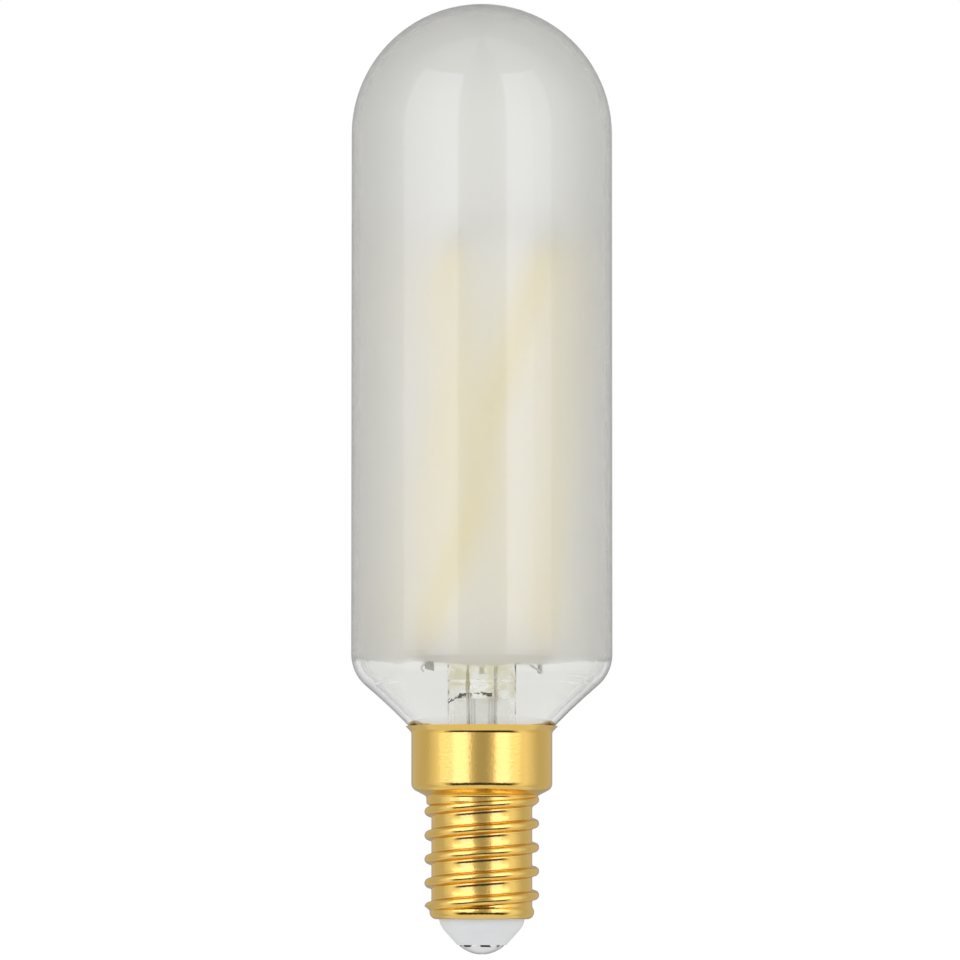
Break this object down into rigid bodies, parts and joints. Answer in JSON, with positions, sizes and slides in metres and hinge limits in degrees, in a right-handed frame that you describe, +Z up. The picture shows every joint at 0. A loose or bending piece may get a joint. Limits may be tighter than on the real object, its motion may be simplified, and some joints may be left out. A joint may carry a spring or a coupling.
{
  "type": "light bulb",
  "caption": "Frosted tube lamp with a rounded crown, a clear shoulder, an inner cage of phosphor filaments on a pinched glass stem, and a rolled brass screw cap.",
  "frame": {"origin": "tip of the centre contact, on the lamp's axis, at the bottom of the upright lamp", "axes": "+Z up along the lamp's axis from the cap to the glass crown, -Y towards the viewer, +X to the viewer's right"},
  "size_m": [0.031, 0.031, 0.113],
  "materials": {
    "frosted_glass": "blown glass tube, frosted white inside, clear at the shoulder",
    "stem_glass": "clear flame-worked lead-free glass, slightly greenish at the pinch",
    "filament_strip": "plated metal strip with bare dull tabs",
    "phosphor": "soft yellow phosphor silicone",
    "lead_wire": "drawn nickel-plated wire",
    "cap_brass": "bright drawn and rolled brass sheet",
    "insulator": "white moulded insulator",
    "contact_metal": "tinned dome, satin",
    "cement": "baked basing cement",
    "circuit_board": "glass-fibre board under green solder mask",
    "chip_body": "black moulded package",
    "capacitor_sleeve": "shrunk dark sleeve",
    "resistor_body": "painted resistor body with tinned leads",
    "tinned_wire": "tinned copper wire"
  },
  "bodies": {
    "root": {"glass_envelope": "frosted_glass", "glass_stem": "stem_glass", "exhaust_tube": "stem_glass", "filament_strip_1": "filament_strip", "filament_strip_2": "filament_strip", "filament_strip_3": "filament_strip", "filament_strip_4": "filament_strip", "filament_phosphor_1": "phosphor", "filament_phosphor_2": "phosphor", "filament_phosphor_3": "phosphor", "filament_phosphor_4": "phosphor", "lead_in_wire_left": "lead_wire", "lead_in_wire_right": "lead_wire", "head_jumper_front": "lead_wire", "head_jumper_rear": "lead_wire", "foot_jumper": "lead_wire", "anchor_wire": "lead_wire", "cap_shell": "cap_brass", "cap_insulator": "insulator", "centre_contact": "contact_metal", "basing_cement": "cement", "driver_board": "circuit_board", "bridge_rectifier": "chip_body", "driver_chip": "chip_body", "sense_resistor_1": "chip_body", "sense_resistor_2": "chip_body", "smoothing_capacitor": "capacitor_sleeve", "fusible_resistor": "resistor_body", "neutral_wire": "tinned_wire"}
  },
  "joints": []
}
